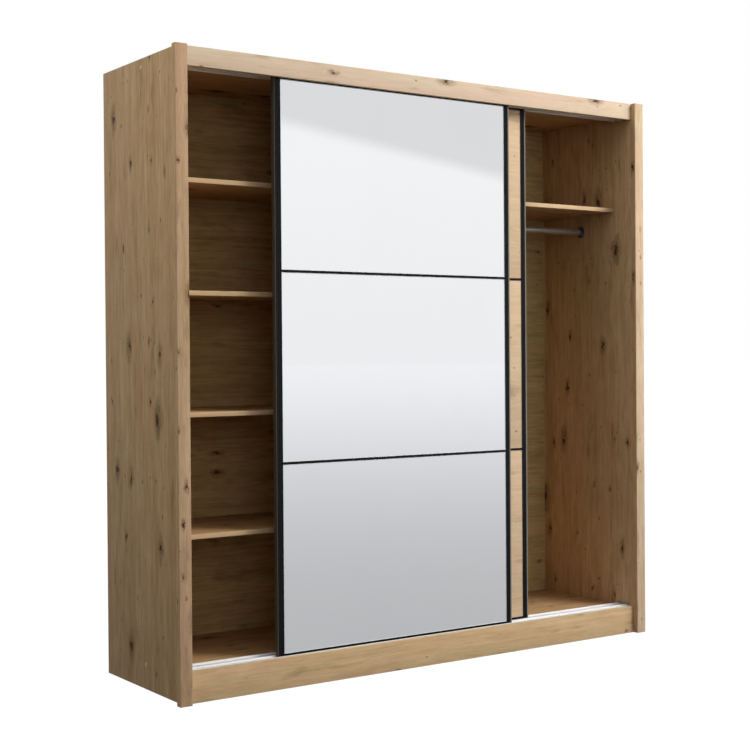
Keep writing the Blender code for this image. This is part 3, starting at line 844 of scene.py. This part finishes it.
def stile_outline(width, depth):
    """A stile from above: a rounded finger rib, a shallow channel with a bead, the panel slot."""
    dip, bead, wall, back_lip = 1.3 * MM, 0.9 * MM, 2.2 * MM, 9 * MM
    middle = 13.2 * MM
    tiny = 0.25 * MM
    return [
        (0, 0, 1.9 * MM),
        (6.6 * MM, 0, 1.5 * MM),
        (7.8 * MM, dip, 0.5 * MM),
        (middle - 1.6 * bead, dip, 0.3 * MM),
        (middle - 0.7 * bead, dip - bead, 0.5 * MM),
        (middle + 0.7 * bead, dip - bead, 0.5 * MM),
        (middle + 1.6 * bead, dip, 0.3 * MM),
        (width - 3.9 * MM, dip, 0.4 * MM),
        (width - 3.0 * MM, 0, 0.6 * MM),
        (width, 0, 0.5 * MM),
        (width, SKIN, tiny),
        (width - SLOT_DEPTH, SKIN, 0),
        (width - SLOT_DEPTH, SLOT_BACK, 0),
        (width, SLOT_BACK, tiny),
        (width, WEB_BACK, tiny),
        (wall, WEB_BACK, 0.6 * MM),
        (wall, depth - wall, 0.6 * MM),
        (back_lip, depth - wall, tiny),
        (back_lip, depth, 0.5 * MM),
        (0, depth, 0.9 * MM),
    ]


def bottom_outline(tall, deep):
    """The bottom profile from the side: a front lip, a ledge, a web, a flange over the rollers."""
    drop, tiny = 8 * MM, 0.25 * MM
    return [
        (0, 0, 0.5 * MM),
        (WEB_BACK, 0, tiny),
        (WEB_BACK, tall - SKIN, 0.5 * MM),
        (deep - SKIN, tall - SKIN, 0.5 * MM),
        (deep - SKIN, tall - drop, tiny),
        (deep, tall - drop, tiny),
        (deep, tall, 0.8 * MM),
        (SLOT_BACK, tall, tiny),
        (SLOT_BACK, SKIN, 0),
        (SKIN, SKIN, 0),
        (SKIN, BOTTOM_LIP, 0.6 * MM),
        (0, BOTTOM_LIP, 0.9 * MM),
    ]


def top_outline(tall):
    """The top profile from the side: a channel over the panel."""
    return [
        (0, 0, 0.9 * MM),
        (SKIN, 0, 0.6 * MM),
        (SKIN, tall - SKIN, 0),
        (SLOT_BACK, tall - SKIN, 0),
        (SLOT_BACK, 0, 0.25 * MM),
        (WEB_BACK, 0, 0.25 * MM),
        (WEB_BACK, tall, 0.5 * MM),
        (0, tall, 0.5 * MM),
    ]


def divider_outline(rear_height):
    """A divider from the side: an H between two panels, narrower in front than at the back."""
    rear, web, tiny = rear_height / 2, 0.7 * MM, 0.25 * MM
    return [
        (0, -DIVIDER_LIP, 1.2 * MM),
        (SKIN, -DIVIDER_LIP, 0.6 * MM),
        (SKIN, -web, 0),
        (SLOT_BACK, -web, 0),
        (SLOT_BACK, -rear, tiny),
        (WEB_BACK, -rear, tiny),
        (WEB_BACK, rear, tiny),
        (SLOT_BACK, rear, tiny),
        (SLOT_BACK, web, 0),
        (SKIN, web, 0),
        (SKIN, DIVIDER_LIP, 0.6 * MM),
        (0, DIVIDER_LIP, 1.2 * MM),
    ]


def paint_stile_highlights(bm, outer, rib):
    """Paints light on a stile: its flank and the front edge of its finger rib take paler colours, a
    painted reflection and a painted highlight on the black anodising.
    """
    bm.normal_update()
    for face in bm.faces:
        away = abs(face.calc_center_median().x - outer)
        if away < 2.0 * MM and abs(face.normal.x) > 0.95:
            face.material_index = 1
        elif away < rib and face.normal.y < 0:
            face.material_index = 2


def dress_stiles(door):
    black = ["black_profile", "profile_flank_painted_reflection", "profile_edge_painted_highlight"]
    # Widths of the painted highlight: the left stile's rounded corner, the right stile's rib front.
    for side, rib in zip(SIDES, (1.2 * MM, 5.0 * MM)):
        node = f"{door}_{side}_stile"
        low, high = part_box(node)
        outer = low.x if side == "left" else high.x
        outline = [
            (outer + INWARD[side] * x, low.y + y, radius)
            for x, y, radius in stile_outline(high.x - low.x, high.y - low.y)
        ]
        bm = extrusion(outline, "Z", low.z, high.z)
        paint_stile_highlights(bm, outer, rib)
        near = (low.x - MM, low.y + WEB_BACK + 0.5 * MM, low.z - MM)
        far = (high.x + MM, high.y + MM, low.z + NOTCH_HEIGHT)
        add_piece(f"{node}_section", bm, black, door, node, smooth=35, notch=(near, far))


def dress_bars(door):
    """The bottom and top profiles and the two dividers."""
    for bar in ("bottom_profile", "top_profile", "divider_1", "divider_2"):
        node = f"{door}_{bar}"
        low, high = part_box(node)
        tall, deep, base = high.z - low.z, high.y - low.y, low.z
        if bar == "bottom_profile":
            outline = bottom_outline(tall, deep)
        elif bar == "top_profile":
            outline = top_outline(tall)
        else:
            outline = divider_outline(tall)
            base = (low.z + high.z) / 2
        bm = extrusion(outline, "X", low.x, high.x, (0, low.y, base))
        add_piece(f"{node}_section", bm, ["black_bar"], door, node, smooth=35)


def dress_mirror():
    """Each mirror is 4 mm glass on a backing board, and a seal runs round its face; the seal's
    near-white colour is a painted highlight along the glass edge.
    """
    glass = 4 * MM
    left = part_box("mirror_door_left_stile")[1].x
    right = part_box("mirror_door_right_stile")[0].x
    dividers = [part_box(f"mirror_door_divider_{number}") for number in (1, 2)]
    middles = [(low.z + high.z) / 2 for low, high in dividers]
    bottoms = [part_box("mirror_door_bottom_profile")[0].z + BOTTOM_LIP]
    bottoms += [middle + DIVIDER_LIP for middle in middles]
    tops = [middle - DIVIDER_LIP for middle in middles]
    tops.append(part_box("mirror_door_top_profile")[0].z)
    for number, bottom, top in zip(PANELS, bottoms, tops):
        node = f"mirror_door_mirror_{number}"
        low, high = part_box(node)
        bm = block(low, (high.x, low.y + glass, high.z), 0.5 * MM, 2)
        for face in bm.faces:
            face.material_index = 0 if face.normal.y < -0.9 else 1
        merge(bm, block((low.x, low.y + glass + 0.05 * MM, low.z), high, 0.3 * MM, 1), 1)
        add_piece(f"{node}_pane", bm, ["mirror_panel", "backing"], "mirror_door", node)
        bm = seal(left, right, bottom, top, low.y)
        name, slot = f"mirror_{number}_seal", "grey_plastic"
        add_piece(name, bm, ["seal_painted_highlight"], "mirror_door")


def seal(left, right, bottom, top, glass_face):
    """A frame on the glass along the profiles, tucked under them, with a sloping inner edge."""
    width, height, tuck, slope = 3.2 * MM, 0.7 * MM, 1.2 * MM, 0.4 * MM
    back, front = glass_face - 0.02 * MM, glass_face - height
    inner = width - tuck
    section = ((-tuck, back), (-tuck, front), (inner - slope, front), (inner, back))
    corners = ((left, bottom), (right, bottom), (right, top), (left, top))
    signs = ((1, 1), (-1, 1), (-1, -1), (1, -1))
    bm = bmesh.new()
    rings = []
    for inset, y in section:
        ring = []
        for (x, z), (sx, sz) in zip(corners, signs):
            ring.append(bm.verts.new((x + inset * sx, y, z + inset * sz)))
        rings.append(ring)
    for ring, following in zip(rings, rings[1:] + rings[:1]):
        for index in range(4):
            after = (index + 1) % 4
            bm.faces.new((ring[index], ring[after], following[after], following[index]))
    bmesh.ops.recalc_face_normals(bm, faces=bm.faces)
    return bm


def dress_bracket(door, side):
    """A screwed plate with the wheel's axle."""
    node = f"{door}_{side}_roller_bracket"
    low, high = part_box(node)
    wheel_low, wheel_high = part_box(f"{door}_{side}_wheel")
    middle = (wheel_low + wheel_high) / 2
    plate_back = wheel_low.y - 0.3 * MM
    length, radius, edge = high.y - plate_back, 2.2 * MM, 0.5 * MM
    bm = block(low, (high.x, plate_back, high.z), 0.4 * MM, 2)
    axle = [(0, 0), (radius, 0), (radius, length - 0.6 * MM), (radius - edge, length), (0, length)]
    place = (middle.x, plate_back - 0.1 * MM, middle.z)
    merge(bm, lathe(axle, (0, 1, 0), place, 32))
    for offset in (-26 * MM, 26 * MM):
        spot = (middle.x + offset, plate_back, (low.z + high.z) / 2 + 6 * MM)
        merge(bm, screw((0, 1, 0), spot, 2.4 * MM))
    add_piece(f"{node}_plate", bm, ["bracket_steel"], door, node, smooth=35)


def dress_wheel(door, side):
    """A grooved tyre with recessed faces and five studs, on a steel bearing."""
    node = f"{door}_{side}_wheel"
    low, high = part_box(node)
    middle = (low + high) / 2
    half = (high.y - low.y) / 2
    rim, tread, bore, hub = (high.z - low.z) / 2, 9.5 * MM, 2.5 * MM, 4.4 * MM
    web, lip = half - 0.9 * MM, 7.6 * MM
    tyre = [(hub, half - 0.2 * MM), (hub + 0.8 * MM, web), (lip - 0.6 * MM, web)]
    tyre += [(lip, half), (rim - 0.5 * MM, half), (rim, half - 0.4 * MM)]
    tyre += [(rim, 1.5 * MM), (rim - 0.3 * MM, 1.35 * MM), (tread, 1.1 * MM)]
    tyre = [(radius, -y) for radius, y in tyre] + tyre[::-1]
    bm = lathe(tyre, (0, 1, 0), middle, 72)
    ring = [(bore, half), (hub - 0.15 * MM, half), (hub - 0.05 * MM, half - 0.3 * MM)]
    ring = [(radius, -y) for radius, y in ring] + ring[::-1]
    merge(bm, lathe(ring, (0, 1, 0), middle, 48), 1)
    stud = [(0, -0.1 * MM), (0.8 * MM, -0.1 * MM), (0.7 * MM, 0.5 * MM), (0, 0.6 * MM)]
    for turn in range(5):
        angle = 2 * math.pi * turn / 5
        spot = Vector((math.cos(angle), 0, math.sin(angle))) * 6.1 * MM
        merge(bm, lathe(stud, (0, 1, 0), middle + spot + Vector((0, web, 0)), 16))
    add_piece(f"{node}_tyre", bm, ["wheel_plastic", "bracket_steel"], node, node, smooth=30)


def dress_guide(door, side):
    """A rounded guide shoe, screwed to the door's head."""
    node = f"{door}_{side}_top_guide"
    low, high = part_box(node)
    middle = (low + high) / 2
    bm = block(low, high, 1.4 * MM, 4)
    for offset in (-18 * MM, 18 * MM):
        spot = (middle.x + offset, high.y, low.z + 7 * MM)
        merge(bm, screw((0, 1, 0), spot, 2.2 * MM), 1)
    add_piece(f"{node}_shoe", bm, ["grey_plastic", "bracket_steel"], door, node, smooth=40)


def dress_doors():
    for number in PANELS:
        board(f"wood_door_panel_{number}", "X", "oak_door", body="wood_door")
    dress_mirror()
    for door in DOORS:
        dress_stiles(door)
        dress_bars(door)
        for side in SIDES:
            dress_bracket(door, side)
            dress_wheel(door, side)
            dress_guide(door, side)


# ---------------------------------------------------------------- the studio


def floor_material():
    """White to the camera; what it sends to the mirror is painted shade, grey near the wardrobe and
    fading to white with distance.
    """
    shader = Shader("floor")
    cloud = shader.noise(shader.place(), scale=0.6, detail=3.0)
    shader.plug("Base Color", shader.mix(cloud, (0.78, 0.78, 0.78, 1), (0.82, 0.82, 0.82, 1)))
    shader.set(Roughness=0.9, Specular_IOR_Level=0.1)
    x, y, _ = shader.split(shader.place())
    away = shader.length(x, y)
    fade = shader.add(shader.power(shader.over(away, FLOOR_FADE), 1.6), 1.0)
    tone = shader.less(1.0, shader.over(FLOOR_PAINTED_SHADE, fade))
    path = shader.node("ShaderNodeLightPath").outputs
    tone = shader.blend(path["Is Diffuse Ray"], tone, FLOOR_BOUNCE)
    tone = shader.blend(path["Is Camera Ray"], tone, FLOOR_TO_CAMERA)
    glow = {"Color": (0.972, 0.984, 1.0, 1), "Strength": tone}
    glow = shader.node("ShaderNodeEmission", glow).outputs[0]
    white = shader.ramp(away, 2.5, 7.0, FLOOR_WHITE, 1.0)
    share = shader.blend(path["Is Camera Ray"], 1.0, white)
    mixed = shader.node("ShaderNodeMixShader", {0: share, 1: shader.surface.outputs[0], 2: glow})
    output = shader.tree.nodes["Material Output"]
    shader.feed(output.inputs["Surface"], mixed.outputs[0])
    return shader.material


def make_floor():
    bm = bmesh.new()
    bmesh.ops.create_circle(bm, cap_ends=True, segments=96, radius=FLOOR_RADIUS)
    mesh = bpy.data.meshes.new("floor")
    bm.to_mesh(mesh)
    bm.free()
    mesh.materials.append(floor_material())
    floor = bpy.data.objects.new("floor", mesh)
    bpy.context.scene.collection.objects.link(floor)


def make_world():
    """White all round; a soft-edged grey ceiling shows in the mirror, and diffuse light is dim."""
    world = bpy.data.worlds.new("studio")
    world.use_nodes = True
    bpy.context.scene.world = world
    shader = Shader("studio", world.node_tree)
    direction = shader.node("ShaderNodeTexCoord").outputs["Generated"]
    wall = shader.ramp(shader.split(direction)[2], 0.0, 0.14, WALL_WHITE, 1.0)
    inputs = {0: direction, 1: CEILING_NORMAL}
    rise = shader.node("ShaderNodeVectorMath", inputs, operation="DOT_PRODUCT").outputs["Value"]
    tone = shader.blend(shader.ramp(rise, -CEILING_BLUR, CEILING_BLUR), wall, CEILING_GREY)
    path = shader.node("ShaderNodeLightPath").outputs
    tone = shader.blend(path["Is Diffuse Ray"], tone, AMBIENT)
    tone = shader.blend(path["Is Camera Ray"], tone, 1.0)
    background = world.node_tree.nodes["Background"]
    background.inputs["Color"].default_value = (1, 1, 1, 1)
    shader.feed(background.inputs["Strength"], tone)


def make_lights():
    for name, (place, target, width, height, watts, glossy) in LIGHTS.items():
        light = bpy.data.lights.new(name, "AREA")
        light.shape = "RECTANGLE"
        light.size, light.size_y = width, height
        light.energy = watts
        obj = bpy.data.objects.new(name, light)
        bpy.context.scene.collection.objects.link(obj)
        obj.location = place
        obj.rotation_euler = (Vector(target) - Vector(place)).to_track_quat("-Z", "Y").to_euler()
        obj.visible_glossy = glossy


def make_camera():
    """Stands left of the wardrobe at half height, and looks back and to the right."""
    camera = bpy.data.cameras.new("camera")
    camera.sensor_width = 36
    camera.lens = CAMERA_LENS
    camera.shift_x, camera.shift_y = CAMERA_SHIFT
    obj = bpy.data.objects.new("camera", camera)
    bpy.context.scene.collection.objects.link(obj)
    turn = Matrix.Rotation(-CAMERA_YAW, 4, "Z")
    turn = turn @ Matrix.Rotation(math.pi / 2 + CAMERA_PITCH, 4, "X")
    turn = turn @ Matrix.Rotation(CAMERA_ROLL, 4, "Z")
    obj.matrix_world = Matrix.Translation(CAMERA_PLACE) @ turn
    bpy.context.scene.camera = obj


dress_boards()
dress_back()
dress_caps()
dress_shelves()
dress_hanging_rail()
dress_lower_track()
dress_upper_track()
dress_stops()
dress_doors()
make_floor()
make_world()
make_lights()
make_camera()
bpy.context.scene.view_settings.view_transform = "Standard"
